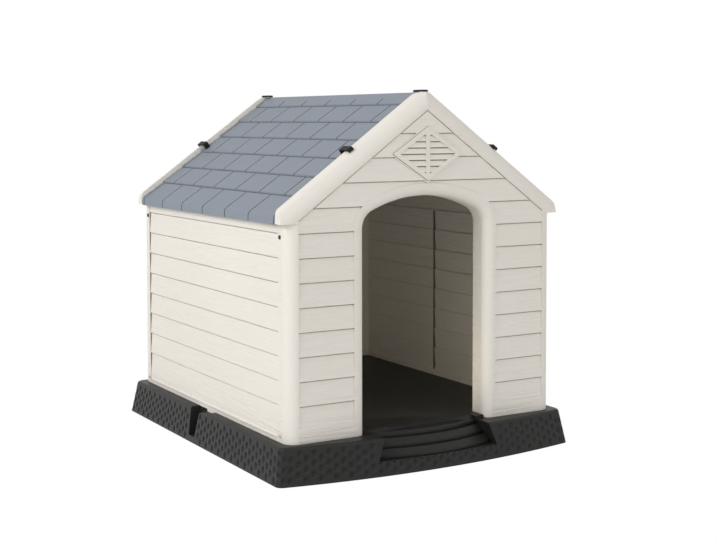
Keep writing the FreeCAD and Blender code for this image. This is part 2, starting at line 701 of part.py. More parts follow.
def tray_plan(body, inset, height):
    """The tray's plan, bowed at the front, drawn in by the inset, at that height."""
    half = f"(base_width / 2 - {inset})"
    straight = f"({half} - tray_corner)"
    bow = f"(({straight} ^ 2 + base_bow ^ 2) / (2 * base_bow))"
    front, rear = f"(base_bow - base_depth / 2 + {inset})", f"(base_depth / 2 - {inset})"
    corners = [(f"-{straight}", front, bow), (straight, front, "tray_corner"),
               (half, f"{front} + tray_corner"), (half, f"{rear} - tray_corner", "tray_corner"),
               (straight, rear), (f"-{straight}", rear, "tray_corner"),
               (f"-{half}", f"{rear} - tray_corner"), (f"-{half}", f"{front} + tray_corner", "tray_corner")]
    return outline(body, "XY", corners, height)


def step_recess():
    """The space over the door steps: bowed risers with an undercut foot, between slanting cheeks."""
    count = int(value("step_count"))
    profile = [("0", "floor_height + overshoot"), ("0", "floor_height")]
    for step in range(count):
        across, tread = f"({step + 1} * step_run)", f"(floor_height - {step + 1} * step_rise)"
        inner = f"({across} - step_groove)"
        profile += [(f"{step} * step_run + step_nose", f"{tread} + step_rise"),
                    (across, f"{tread} + step_nose"), (across, f"{tread} + step_groove"),
                    (inner, f"{tread} + step_groove"), (inner, tread)]
    foot = f"(floor_height - {count} * step_rise)"
    profile += [("base_depth", foot), ("base_depth", "floor_height + overshoot")]
    corners = [(f"-(step_radius + {along})", up) for along, up in profile]
    body = doc.addObject("PartDesign::Body", "step_risers")
    sketch = outline(body, "YZ", corners, "0")
    turned = body.newObject("PartDesign::Revolution", "step_turn")
    turned.Profile = sketch
    turned.ReferenceAxis = (sketch, ["V_Axis"])
    turned.Angle = 90
    turned.Midplane = True
    body.setExpression("Placement.Base.y", sized(f"{FRONT} + step_lip + step_radius"))
    foot_half, top = "(step_half_width + step_flare)", "(floor_height + overshoot)"
    cheeks = prism("step_cheeks", "XZ",
                   [(f"-{foot_half}", foot), (foot_half, foot), ("step_half_width", top),
                    ("-step_half_width", top)], "-base_depth", MIDDLE)
    return shared("step_recess", body, cheeks)


def base_tray():
    """The whole tray before it is parted: flared skirt, raised floor, steps and side slots."""
    skirt = doc.addObject("PartDesign::Body", "tray_skirt")
    rims = [tray_plan(skirt, f"(skirt_flare + ledge_round * (1 - cos({turn})))",
                      f"base_height - ledge_round * (1 - sin({turn}))") for turn in LEDGE_TURNS]
    loft = skirt.newObject("PartDesign::AdditiveLoft", "tray_skirt_loft")
    loft.Profile = tray_plan(skirt, "0", "0")
    loft.Sections = rims
    loft.Ruled = True
    side = f"({INNER} - lap_step - floor_gap)"
    jamb = "(door_half_width + frame_width + floor_gap)"
    door = "(door_half_width - floor_gap)"
    behind = f"{FRONT} + frame_depth + floor_gap"
    floor = [block("floor_field", (f"-{side}", side), (behind, f"{REAR} - wall_thickness - floor_gap"),
                   ("base_height - 5", "floor_height"))]
    for name, start, end in (("left", f"-{side}", f"-{jamb}"), ("right", jamb, side)):
        floor.append(block(f"floor_{name}_of_door", (start, end),
                           (f"{FRONT} + wall_thickness + floor_gap", f"{behind} + 2"),
                           ("base_height - 5", "floor_height")))
    floor.append(block("floor_sill", (f"-{door}", door), (f"{FRONT} + step_lip", f"{behind} + 2"),
                       ("base_height - 5", "floor_height")))
    solid = fused("tray_solid", [skirt] + floor)
    tools = [step_recess()]
    split = f"({FRONT} + split_place)"
    clear = "(slot_top / 2 + web_thickness)"
    for name, start, end in (("front", f"{FRONT} + frame_depth", f"{split} - {clear}"),
                             ("rear", f"{split} + {clear}", "base_depth / 2 - skirt_flare - skirt_thickness")):
        outer = "(base_width / 2 - skirt_flare - skirt_thickness)"
        tools.append(block(f"{name}_hollow", (f"-{outer}", outer), (start, end),
                           ("-1", "base_height - floor_thickness")))
        inner = f"({side} - skirt_thickness)"
        first = f"{behind} + skirt_thickness" if name == "front" else start
        last = end if name == "front" else f"{REAR} - wall_thickness - floor_gap - skirt_thickness"
        tools.append(block(f"{name}_upper_hollow", (f"-{inner}", inner), (first, last),
                           ("base_height - floor_thickness - 1", "floor_height - floor_thickness")))
    slot = prism("right_slot", "YZ",
                 [(f"{split} - slot_bottom / 2", "slot_floor"), (f"{split} + slot_bottom / 2", "slot_floor"),
                  (f"{split} + slot_top / 2", "base_height + 1"), (f"{split} - slot_top / 2", "base_height + 1")],
                 "base_width / 2 - skirt_flare - slot_depth", "base_width / 2 + 1")
    notch = block("right_notch", (f"{HALF} - flange_thickness - floor_gap", "base_width / 2 + 1"),
                  (f"{FRONT} + tab_place - tab_width / 2 - floor_gap",
                   f"{FRONT} + tab_place + tab_width / 2 + floor_gap"),
                  ("base_height - tab_drop - floor_gap", "base_height + 1"))
    tools += [slot, notch, mirrored("left_slot", slot, ACROSS), mirrored("left_notch", notch, ACROSS)]
    return cut("tray", solid, tools)


def tray_halves():
    """The tray parted across, with a hair's gap between the halves."""
    tray = base_tray()
    split = f"({FRONT} + split_place)"
    halves = {}
    for name, start, end in (("base_front", "-base_depth", f"{split} - seam_gap / 2"),
                             ("base_rear", f"{split} + seam_gap / 2", "base_depth")):
        region = block(name + "_region", ("-base_width", "base_width"), (start, end), ("-1", "floor_height + 1"))
        halves[name] = shared(name, tray, region)
    return halves


halves = tray_halves()


def write(nodes):
    """Checks every object and writes each node's solid."""
    doc.recompute()
    for item in doc.Objects:
        if "Invalid" in item.State or "Error" in item.State:
            raise RuntimeError(f"{item.Name} did not build")
    os.makedirs("parts", exist_ok=True)
    for label, item in nodes.items():
        item.Label = label
        if item.Shape.isNull() or not item.Shape.isValid():
            raise RuntimeError(f"{label} is not a sound solid")
        item.Shape.exportStep(f"parts/{label}.step")
        print(label, len(item.Shape.Solids), round(item.Shape.Volume))


write({**halves, "front_wall": front_wall, "rear_wall": rear_wall, "left_wall": left_wall,
       "right_wall": right_wall, "gable_vent": vent, "roof_left": roof_left, "roof_right": roof_right,
       **clips, **screws})
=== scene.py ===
import math

import bmesh
import bpy
from mathutils import Matrix, Vector


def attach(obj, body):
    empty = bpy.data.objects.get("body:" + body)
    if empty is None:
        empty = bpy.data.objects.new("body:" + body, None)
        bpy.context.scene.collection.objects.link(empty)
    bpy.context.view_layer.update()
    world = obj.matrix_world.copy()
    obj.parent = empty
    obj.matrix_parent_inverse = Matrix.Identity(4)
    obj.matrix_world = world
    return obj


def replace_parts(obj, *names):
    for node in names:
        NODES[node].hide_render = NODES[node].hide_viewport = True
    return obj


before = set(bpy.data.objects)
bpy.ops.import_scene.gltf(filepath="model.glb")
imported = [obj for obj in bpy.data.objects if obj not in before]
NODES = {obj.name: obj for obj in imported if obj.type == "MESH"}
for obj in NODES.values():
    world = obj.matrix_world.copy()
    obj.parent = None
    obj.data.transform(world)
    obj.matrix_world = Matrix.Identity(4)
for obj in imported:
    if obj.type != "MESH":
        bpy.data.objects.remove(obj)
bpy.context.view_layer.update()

# ---------------------------------------------------------------- camera

CAMERA_PLACE = (-1.5545, -2.7289, 0.7440)
CAMERA_YAW = 30.437        # degrees, like the next two
CAMERA_DOWN = 2.803
CAMERA_ROLL = -0.079
CAMERA_LENS = 65.617       # millimetres, like the sensor's width
SENSOR_WIDTH = 36.0
CAMERA_SHIFT = -0.12       # the photograph keeps its uprights nearly parallel
CAMERA_REACH = 100.0


def photo_camera():
    """The camera of the product photograph: low, from the front left corner."""
    data = bpy.data.cameras.new("photo_camera")
    data.lens = CAMERA_LENS
    data.sensor_width = SENSOR_WIDTH
    data.shift_y = CAMERA_SHIFT
    data.clip_end = CAMERA_REACH
    camera = bpy.data.objects.new("photo_camera", data)
    bpy.context.scene.collection.objects.link(camera)
    yaw, down, roll = (math.radians(angle) for angle in (CAMERA_YAW, CAMERA_DOWN, CAMERA_ROLL))
    ahead = Vector((math.sin(yaw) * math.cos(down), math.cos(yaw) * math.cos(down), -math.sin(down)))
    right = Vector((math.cos(yaw), -math.sin(yaw), 0.0))
    up = right.cross(ahead)
    across = right * math.cos(roll) + up * math.sin(roll)
    above = up * math.cos(roll) - right * math.sin(roll)
    turn = Matrix((across, above, -ahead)).transposed().to_4x4()
    camera.matrix_world = Matrix.Translation(CAMERA_PLACE) @ turn
    bpy.context.scene.camera = camera


# ---------------------------------------------------------------- shader groups

BOARD_EDGE = 800.0         # how sharply the wood figure stops where a face begins to round
WANDER_PLACE = (2.6, 2.6, 17.0)        # how fast the wandering streaks change along X, Y and Z
WANDER_TURNS = 55.0
WANDER_SHARE = 0.10        # their share of the wood figure's height


def linear_share(level):
    """One channel of a screen colour, 0 to 255, as a share of linear light."""
    share = level / 255
    return share / 12.92 if share <= 0.04045 else ((share + 0.055) / 1.055) ** 2.4


def written_colour(red, green, blue):
    """A colour written as it looks on a screen, 0 to 255, as the linear colour that a shader takes."""
    return (linear_share(red), linear_share(green), linear_share(blue), 1.0)


def node(tree, kind, **values):
    """A shader node; a value sets a field of its own, or an input socket where the name has a capital."""
    made = tree.nodes.new(kind)
    for name, value in values.items():
        if name[0].isupper():
            made.inputs[name.replace("_", " ")].default_value = value
        else:
            setattr(made, name, value)
    return made


def math_node(tree, operation, first, second=None):
    """A calculation on one or two values, each a number or the output of a node."""
    made = tree.nodes.new("ShaderNodeMath")
    made.operation = operation
    for socket, value in zip(made.inputs, (first, second)):
        if value is None:
            continue
        if isinstance(value, (int, float)):
            socket.default_value = value
        else:
            tree.links.new(value, socket)
    return made.outputs["Value"]


def group(name, inputs, outputs):
    """An empty shader node group with its sockets: inputs as (name, default), outputs as (name, kind)."""
    tree = bpy.data.node_groups.new(name, "ShaderNodeTree")
    for label, default in inputs:
        socket = tree.interface.new_socket(label, in_out="INPUT", socket_type="NodeSocketFloat")
        socket.default_value = default
    for label, kind in outputs:
        tree.interface.new_socket(label, in_out="OUTPUT", socket_type=kind)
    return tree, tree.nodes.new("NodeGroupInput").outputs, tree.nodes.new("NodeGroupOutput").inputs


def placed(tree, shared, **values):
    """A shared group set into a material, with this material's own values."""
    made = tree.nodes.new("ShaderNodeGroup")
    made.node_tree = shared
    for name, value in values.items():
        made.inputs[name].default_value = value
    return made


def wood_emboss():
    """Height of the wood figure pressed into the boards: long streaks, some of them wandering."""
    tree, given, out = group(
        "wood emboss", [("Streaks", 210.0), ("Along", 5.0)], [("Height", "NodeSocketFloat")])
    place = node(tree, "ShaderNodeTexCoord").outputs["Object"]
    squeeze = node(tree, "ShaderNodeCombineXYZ")
    tree.links.new(given["Along"], squeeze.inputs["X"])
    tree.links.new(given["Along"], squeeze.inputs["Y"])
    tree.links.new(given["Streaks"], squeeze.inputs["Z"])
    scaled = node(tree, "ShaderNodeVectorMath", operation="MULTIPLY")
    tree.links.new(place, scaled.inputs[0])
    tree.links.new(squeeze.outputs["Vector"], scaled.inputs[1])
    fine = node(tree, "ShaderNodeTexNoise", Scale=1.0, Detail=5.0, Roughness=0.62)
    tree.links.new(scaled.outputs["Vector"], fine.inputs["Vector"])
    slow = node(tree, "ShaderNodeVectorMath", operation="MULTIPLY")
    slow.inputs[1].default_value = WANDER_PLACE
    tree.links.new(place, slow.inputs[0])
    drift = node(tree, "ShaderNodeTexNoise", Scale=1.0, Detail=2.0, Roughness=0.5)
    tree.links.new(slow.outputs["Vector"], drift.inputs["Vector"])
    rings = math_node(tree, "SINE", math_node(tree, "MULTIPLY", drift.outputs["Fac"], WANDER_TURNS))
    height = math_node(tree, "ADD", fine.outputs["Fac"], math_node(tree, "MULTIPLY", rings, WANDER_SHARE))
    tree.links.new(height, out["Height"])
    return tree


def board_field():
    """Mask of the flat board faces, which carry the wood figure; rounded trim stays smooth."""
    tree, given, out = group("board field", [("Flatness", 0.994)], [("Mask", "NodeSocketFloat")])
    facing = node(tree, "ShaderNodeNewGeometry").outputs["Normal"]
    part = node(tree, "ShaderNodeSeparateXYZ")
    tree.links.new(facing, part.inputs["Vector"])
    flat = math_node(tree, "MAXIMUM", math_node(tree, "ABSOLUTE", part.outputs["X"]),
                     math_node(tree, "ABSOLUTE", part.outputs["Y"]))
    over = math_node(tree, "SUBTRACT", flat, given["Flatness"])
    sharp = math_node(tree, "MULTIPLY", over, BOARD_EDGE)
    mask = math_node(tree, "MINIMUM", math_node(tree, "MAXIMUM", sharp, 0.0), 1.0)
    tree.links.new(mask, out["Mask"])
    return tree


def moulded_skin():
    """Fine even texture of a moulded plastic skin: a height for the bump and a slow tint."""
    tree, given, out = group(
        "moulded skin", [("Grain", 900.0), ("Blotch", 5.0)],
        [("Height", "NodeSocketFloat"), ("Tint", "NodeSocketFloat")])
    place = node(tree, "ShaderNodeTexCoord").outputs["Object"]
    grain = node(tree, "ShaderNodeTexNoise", Detail=3.0, Roughness=0.6)
    blotch = node(tree, "ShaderNodeTexNoise", Detail=3.0, Roughness=0.5)
    for made, size in ((grain, "Grain"), (blotch, "Blotch")):
        tree.links.new(place, made.inputs["Vector"])
        tree.links.new(given[size], made.inputs["Scale"])
    tree.links.new(grain.outputs["Fac"], out["Height"])
    tree.links.new(blotch.outputs["Fac"], out["Tint"])
    return tree


def groove_shade():
    """How open the surface is within a short reach, 1 on a free face and near 0 in a narrow groove: the mask
    of the painted groove shade.
    """
    tree, given, out = group(
        "groove shade", [("Reach", 0.004), ("Sharpness", 1.0)], [("Openness", "NodeSocketFloat")])
    hollow = node(tree, "ShaderNodeAmbientOcclusion", samples=8)
    tree.links.new(given["Reach"], hollow.inputs["Distance"])
    openness = math_node(tree, "POWER", hollow.outputs["AO"], given["Sharpness"])
    tree.links.new(openness, out["Openness"])
    return tree


# ---------------------------------------------------------------- materials

WALL_SKIN_SHARE = 0.05     # height of the fine skin on the walls beside that of the wood figure


def plastic(name, roughness, specular=0.5):
    """A new material, its tree and its shader, set to a roughness and a specular level."""
    material = bpy.data.materials.new(name)
    material.use_nodes = True
    tree = material.node_tree
    shader = tree.nodes["Principled BSDF"]
    shader.inputs["Roughness"].default_value = roughness
    shader.inputs["Specular IOR Level"].default_value = specular
    return material, tree, shader


def two_tone(tree, shader, light, dark, by):
    """The colour drifts between two tones over the surface."""
    mix = node(tree, "ShaderNodeMix", data_type="RGBA")
    mix.inputs["A"].default_value = dark
    mix.inputs["B"].default_value = light
    tree.links.new(by, mix.inputs["Factor"])
    tree.links.new(mix.outputs["Result"], shader.inputs["Base Color"])


def painted_groove_shade(tree, shader, shared, dark, **values):
    """Painted shade: the colour turns dark where a narrow groove shuts the surface in."""
    groove = placed(tree, shared["painted_groove_mask"], **values)
    mix = node(tree, "ShaderNodeMix", data_type="RGBA")
    mix.inputs["A"].default_value = dark
    tree.links.new(groove.outputs["Openness"], mix.inputs["Factor"])
    tree.links.new(shader.inputs["Base Color"].links[0].from_socket, mix.inputs["B"])
    tree.links.new(mix.outputs["Result"], shader.inputs["Base Color"])


def bumped(tree, shader, height, distance):
    """The surface rises with a height, by a distance in metres at most."""
    bump = node(tree, "ShaderNodeBump", Strength=1.0, Distance=distance)
    tree.links.new(height, bump.inputs["Height"])
    tree.links.new(bump.outputs["Normal"], shader.inputs["Normal"])


def wall_plastic(shared):
    """Cream resin: wood figure on the boards, a smooth satin skin on posts, rakes and the door band."""
    material, tree, shader = plastic("cream wall resin", roughness=0.52, specular=0.4)
    skin = placed(tree, shared["skin"], Grain=700.0, Blotch=3.2)
    wood = placed(tree, shared["wood"], Streaks=230.0, Along=6.0)
    boards = placed(tree, shared["boards"])
    two_tone(tree, shader, light=written_colour(243, 238, 229), dark=written_colour(236, 230, 220),
             by=skin.outputs["Tint"])
    figure = math_node(tree, "MULTIPLY", wood.outputs["Height"], boards.outputs["Mask"])
    fine_skin = math_node(tree, "MULTIPLY", skin.outputs["Height"], WALL_SKIN_SHARE)
    # painted shade: the cream darkens to this tone in narrow grooves
    painted_groove_shade(tree, shader, shared, dark=written_colour(196, 187, 173), Reach=0.003, Sharpness=0.8)
    bumped(tree, shader, math_node(tree, "ADD", figure, fine_skin), distance=0.0017)
    return material


def roof_plastic(shared):
    """Slate blue resin with a light speckled skin, and painted shade that darkens the joints between the
    shingles.
    """
    material, tree, shader = plastic("slate roof resin", roughness=0.5, specular=0.45)
    skin = placed(tree, shared["skin"], Grain=420.0, Blotch=260.0)
    two_tone(tree, shader, light=written_colour(139, 147, 158), dark=written_colour(124, 132, 143),
             by=skin.outputs["Tint"])
    # painted shade: the slate turns near black in the narrow joints between the shingles
    painted_groove_shade(tree, shader, shared, dark=written_colour(34, 37, 42), Reach=0.004, Sharpness=3.0)
    bumped(tree, shader, skin.outputs["Height"], distance=0.0006)
    return material


def base_plastic(shared):
    """Charcoal resin of the tray."""
    material, tree, shader = plastic("charcoal base resin", roughness=0.42, specular=0.2)
    skin = placed(tree, shared["skin"], Grain=500.0, Blotch=9.0)
    two_tone(tree, shader, light=written_colour(43, 43, 42), dark=written_colour(34, 34, 33),
             by=skin.outputs["Tint"])
    bumped(tree, shader, skin.outputs["Height"], distance=0.0004)
    return material


def clip_plastic(shared):
    """Black resin of the roof clips."""
    material, tree, shader = plastic("black clip resin", roughness=0.6, specular=0.25)
    skin = placed(tree, shared["skin"], Grain=900.0, Blotch=30.0)
    two_tone(tree, shader, light=written_colour(19, 19, 19), dark=written_colour(13, 13, 13),
             by=skin.outputs["Tint"])
    bumped(tree, shader, skin.outputs["Height"], distance=0.0002)
    return material


def screw_steel(shared):
    """Blackened steel of the screws under the eaves."""
    material, tree, shader = plastic("blackened screw steel", roughness=0.42)
    shader.inputs["Metallic"].default_value = 0.6
    skin = placed(tree, shared["skin"], Grain=1500.0, Blotch=60.0)
    two_tone(tree, shader, light=written_colour(70, 68, 66), dark=written_colour(48, 46, 45),
             by=skin.outputs["Tint"])
    bumped(tree, shader, skin.outputs["Height"], distance=0.0001)
    return material


def pale_screw(shared):
    """Screw head coated to match the walls."""
    material, tree, shader = plastic("pale coated screw", roughness=0.4)
    skin = placed(tree, shared["skin"], Grain=1500.0, Blotch=90.0)
    two_tone(tree, shader, light=written_colour(226, 214, 200), dark=written_colour(206, 190, 174),
             by=skin.outputs["Tint"])
    bumped(tree, shader, skin.outputs["Height"], distance=0.0001)
    return material


def seam_shade(shared):
    """Painted shade: the colour of the shadowed depth of a gap between two cream panels."""
    material, tree, shader = plastic("painted seam shade", roughness=0.8, specular=0.1)
    skin = placed(tree, shared["skin"], Grain=700.0, Blotch=12.0)
    two_tone(tree, shader, light=written_colour(150, 140, 126), dark=written_colour(112, 103, 92),
             by=skin.outputs["Tint"])
    bumped(tree, shader, skin.outputs["Height"], distance=0.0002)
    return material


def dress(material, *names):
    """Gives the named parts of the house their finish."""
    for name in names:
        NODES[name].data.materials.clear()
        NODES[name].data.materials.append(material)


# ---------------------------------------------------------------- making pieces


def added(name, mesh, slot_name, *materials):
    """A new piece from a finished bmesh, riding on the house."""
    data = bpy.data.meshes.new(name)
    mesh.normal_update()
    mesh.to_mesh(data)
    mesh.free()
    piece = bpy.data.objects.new(name, data)
    bpy.context.scene.collection.objects.link(piece)
    for material in materials:
        data.materials.append(material)
    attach(piece, "root")
    return piece


def band(mesh, first, second, smooth=False):
    """Faces between two rings that have as many corners as each other."""
    faces = []
    for index, corner in enumerate(first):
        after = (index + 1) % len(first)
        face = mesh.faces.new((corner, first[after], second[after], second[index]))
        face.smooth = smooth
        faces.append(face)
    return faces


def closed_tube(mesh, rings, smooth=False):
    """A closed form through a row of rings, with a flat face over the first and the last of them."""
    faces = [face for first, second in zip(rings, rings[1:]) for face in band(mesh, first, second, smooth)]
    return faces + [mesh.faces.new(rings[0]), mesh.faces.new(rings[-1])]


# ---------------------------------------------------------------- dimpled skirt of the base tray

TRAY_HALF = 0.375
TRAY_BACK = 0.440
TRAY_FRONT = -0.404        # ends of the bowed front edge
TRAY_BOW = 0.036
TRAY_CORNER = 0.016
SKIRT_FLARE = 0.012
SKIRT_TOP = 0.0715
SLOT_PLACE = 0.0465        # middle of the two side slots, where the halves meet
SLOT_CLEAR = 0.026
STEP_CLEAR = 0.157         # half width of the plain part round the door steps
STEP_FOOT = 0.028
SKIRT_CUTS = (             # places and directions of the planes that part the dimpled from the plain skirt
    ((0, SLOT_PLACE - SLOT_CLEAR, 0), (0, 1, 0)), ((0, SLOT_PLACE + SLOT_CLEAR, 0), (0, 1, 0)),
    ((STEP_CLEAR, 0, 0), (1, 0, 0)), ((-STEP_CLEAR, 0, 0), (1, 0, 0)), ((0, 0, STEP_FOOT), (0, 0, 1)))
SKIRT_LEAN = (0.15, 0.26)  # how far a flared face looks up, least and most
CORNER_FROM = 0.352        # the tray's rounded corners lie further out than this
UPRIGHT = 0.5              # an upright face looks up or down by less than this
SQUARE_ON = 0.9            # a face of one side looks that way by more than this
TOUCH = 0.0001
WELD = 0.00002
DIMPLE_PITCH = (0.017, 0.021)
DIMPLE_HALF = (0.0050, 0.0066)
DIMPLE_DEPTH = 0.0036
DIMPLE_WALL = 1.6          # how soon a dimple reaches its full depth
DIMPLE_ROUNDING = 0.6
CELL_CUTS = 6              # grid columns to a dimple
ROW_HEIGHT = 0.0024
LEAST_ROWS = 4
COLUMN_SLACK = 0.3         # a last column narrower than this share of a pitch is spread over the others


def skirt_inset(height):
    """How far the flared skirt has drawn in from its foot."""
    return SKIRT_FLARE * height / SKIRT_TOP


def straight_half(height):
    """Half of the tray's width between its rounded corners."""
    return TRAY_HALF - skirt_inset(height) - TRAY_CORNER


def between(start, end, share):
    """The value at a share of the way from a start to an end."""
    return start + (end - start) * share


# A run of the skirt gives the point and the outward direction at a share of its length and a height.


def bowed_place(across, height):
    """The point and the outward direction on the bowed front at a distance from the middle."""
    radius = (straight_half(height) ** 2 + TRAY_BOW ** 2) / (2 * TRAY_BOW)
    along = TRAY_FRONT + skirt_inset(height) + (radius - TRAY_BOW) - math.sqrt(radius ** 2 - across ** 2)
    return Vector((across, along, height)), Vector((across, -radius, 0)).normalized()


def step_run(share, height):
    """The low run under the door steps."""
    return bowed_place(between(-STEP_CLEAR, STEP_CLEAR, share), height)


def front_run(side):
    """The run from a front corner to the plain part round the steps."""
    def at(share, height):
        return bowed_place(side * between(straight_half(height), STEP_CLEAR, share), height)
    return at


def side_run(side, start, end, corner_first):
    """A run along one side, from a corner to the slot or on from the slot; its corner end draws in."""
    def at(share, height):
        inset = skirt_inset(height)
        drawn_in = inset * (1 - share) if corner_first else -inset * share
        along = between(start, end, share) + drawn_in
        return Vector((side * (TRAY_HALF - inset), along, height)), Vector((side, 0, 0))
    return at


def corner_run(side, start, middle_at):
    """A rounded corner, a quarter turn from an angle in degrees; its middle lies at a place in Y."""
    def at(share, height):
        turn = math.radians(between(start, start + 90, share))
        out = Vector((math.cos(turn) * side, math.sin(turn), 0))
        middle = Vector((side * straight_half(height), middle_at(skirt_inset(height)), height))
        return middle + out * TRAY_CORNER, out
    return at


def rear_run(share, height):
    """The straight run across the back."""
    across = straight_half(height) * between(-1, 1, share)
    return Vector((across, TRAY_BACK - skirt_inset(height), height)), Vector((0, 1, 0))


def dimple(across, height, column):
    """Depth of the skin at a place: upright ovals in columns, every other column half a pitch higher."""
    tall = DIMPLE_PITCH[1]
    shift = tall / 2 if column % 2 else 0.0
    row = math.floor((height - shift) / tall)
    middle = shift + (row + 0.5) * tall
    if not DIMPLE_HALF[1] < middle < SKIRT_TOP - DIMPLE_HALF[1]:
        return 0.0
    away = (across / DIMPLE_HALF[0]) ** 2 + ((height - middle) / DIMPLE_HALF[1]) ** 2
    near = max(0.0, 1.0 - away)
    return DIMPLE_DEPTH * min(1.0, DIMPLE_WALL * near ** DIMPLE_ROUNDING)


def dimpled_run(mesh, at, length, top):
    """Adds one run of the skirt as a fine grid pressed in at each dimple, and gives its corners."""
    columns = math.ceil(length / DIMPLE_PITCH[0] - COLUMN_SLACK)
    steps, rows = columns * CELL_CUTS, max(LEAST_ROWS, round(top / ROW_HEIGHT))
    grid = []
    for step in range(steps + 1):
        column, cut = divmod(step, CELL_CUTS)
        across = (cut / CELL_CUTS - 0.5) * DIMPLE_PITCH[0]
        line = []
        for row in range(rows + 1):
            height = top * row / rows
            place, out = at(step / steps, height)
            line.append(mesh.verts.new(place - out * dimple(across, height, column)))
        grid.append(line)
    faces = [mesh.faces.new(corners) for first, second in zip(grid, grid[1:])
             for corners in zip(first, first[1:], second[1:], second)]
    faces[0].normal_update()
    inward = faces[0].normal.dot(at(0.0, 0.0)[1]) < 0
    for face in faces:
        face.smooth = True
        if inward:
            face.normal_flip()
    return [vert for line in grid for vert in line]


def is_flared(face):
    """Whether a face leans as the skirt does."""
    return SKIRT_LEAN[0] < face.normal.z < SKIRT_LEAN[1]


def is_skirt(face):
    """Whether a face belongs to the flared outside of the tray and is to be dimpled."""
    place, normal = face.calc_center_median(), face.normal
    past_the_sides = not TRAY_FRONT + TRAY_CORNER < place.y < TRAY_BACK - TRAY_CORNER
    if abs(place.x) > CORNER_FROM and past_the_sides and place.z < SKIRT_TOP and abs(normal.z) < UPRIGHT:
        return True
    if not (is_flared(face) and place.z < SKIRT_TOP + TOUCH):
        return False
    if abs(normal.x) > SQUARE_ON and abs(place.y - SLOT_PLACE) < SLOT_CLEAR:
        return False
    return not (normal.y < -SQUARE_ON and abs(place.x) < STEP_CLEAR and place.z > STEP_FOOT)


def dimpled_half(name, runs, resin):
    """One half of the base tray with the dimples of the real skirt pressed into it."""
    mesh = bmesh.new()
    mesh.from_mesh(NODES[name].data)
    for place, normal in SKIRT_CUTS:
        flared = [face for face in mesh.faces if is_flared(face)]
        edges = list(dict.fromkeys(edge for face in flared for edge in face.edges))
        bmesh.ops.bisect_plane(mesh, geom=flared + edges, plane_co=place, plane_no=normal)
        mesh.faces.ensure_lookup_table()
        mesh.normal_update()
    bmesh.ops.delete(mesh, geom=[face for face in mesh.faces if is_skirt(face)], context="FACES")
    fresh = [vert for at, length, top in runs for vert in dimpled_run(mesh, at, length, top)]
    bmesh.ops.remove_doubles(mesh, verts=fresh, dist=WELD)
    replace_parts(added(name + "_moulded", mesh, "base_plastic", resin), name)


def dimpled_base(resin):
    """Both halves of the tray; each run of their skirt comes with its length and its top."""
    def front_middle(inset):
        return TRAY_FRONT + inset + TRAY_CORNER

    def rear_middle(inset):
        return TRAY_BACK - inset - TRAY_CORNER

    corner = TRAY_CORNER * math.pi / 2
    front, rear = [], []
    for side in (-1, 1):
        front.append((front_run(side), TRAY_HALF - TRAY_CORNER - STEP_CLEAR, SKIRT_TOP))
        front.append((corner_run(side, -90, front_middle), corner, SKIRT_TOP))
        start, end = TRAY_FRONT + TRAY_CORNER, SLOT_PLACE - SLOT_CLEAR
        front.append((side_run(side, start, end, corner_first=True), end - start, SKIRT_TOP))
        start, end = SLOT_PLACE + SLOT_CLEAR, TRAY_BACK - TRAY_CORNER
        rear.append((side_run(side, start, end, corner_first=False), end - start, SKIRT_TOP))
        rear.append((corner_run(side, 0, rear_middle), corner, SKIRT_TOP))
    front.append((step_run, 2 * STEP_CLEAR, STEP_FOOT))
    rear.append((rear_run, 2 * (TRAY_HALF - TRAY_CORNER), SKIRT_TOP))
    dimpled_half("base_front", front, resin)
    dimpled_half("base_rear", rear, resin)


# ---------------------------------------------------------------- vent backing, strips of painted seam shade and foot beads

WALL_FACE = -0.3795        # front face of the front wall
WALL_BACK = 0.4205         # rear face of the rear wall
HOUSE_HALF = 0.3405
WRAP = 0.043               # how far the end panels wrap round the corners
VENT_HEIGHT = 0.672
VENT_HALF = (0.088, 0.058)
BACKING_GROWTH = (-0.0165, -0.011)     # beside the vent's outline, across and up
BACKING_DEPTHS = (0.0003, 0.0024)      # behind the front wall's face
GAP_GROWTHS = ((0.0016, 0.0011), (-0.0005, -0.0003))   # outer and inner rim of the gap round the vent
GAP_DEPTHS = (-0.0003, 0.001)
REAR_SEAM = (0.002, 0.0016, 0.446)     # a seam's size along X, Y and Z
REAR_SEAM_PROUD = 0.00025
REAR_SEAM_AHEAD = 0.0003   # its middle ahead of the flange's edge
REAR_SEAM_HEIGHT = 0.3085
INNER_SEAM = (0.0048, 0.0036, 0.412)
INNER_SEAM_OUT = 0.3202
INNER_SEAM_BACK = 0.451    # behind the front wall's face
INNER_SEAM_HEIGHT = 0.305
BEAD_HALF = (0.0034, 0.0042)           # half of its thickness and of its height
BEAD_SINK = 0.001
BEAD_HEIGHT = 0.0885
BEAD_GAP = 0.006           # short of the end panels
BEAD_ENDS = ((0.0, 0.3), (0.0015, 0.8), (0.004, 1.0))  # distance from an end, and share of the full size
BEAD_SIDES = 20


def plate(mesh, outer, inner, front, back):
    """A plate across the front wall between two places in Y, or a frame where it has an inner outline."""
    rings = []
    for y in (front, back):
        rings += [[mesh.verts.new((x, y, z)) for x, z in line] for line in (outer, inner) if line]
    if inner:
        outer_front, inner_front, outer_back, inner_back = rings
        section = (outer_front, inner_front, inner_back, outer_back, outer_front)
        for first, second in zip(section, section[1:]):
            band(mesh, first, second)
    else:
        for ring in rings:
            mesh.faces.new(ring)
        band(mesh, *rings)
    bmesh.ops.recalc_face_normals(mesh, faces=mesh.faces[:])


def vent_diamond(growth):
    """The vent's outline, grown or shrunk across and up."""
    half, rise = VENT_HALF[0] + growth[0], VENT_HALF[1] + growth[1]
    return [(-half, VENT_HEIGHT), (0.0, VENT_HEIGHT - rise), (half, VENT_HEIGHT), (0.0, VENT_HEIGHT + rise)]


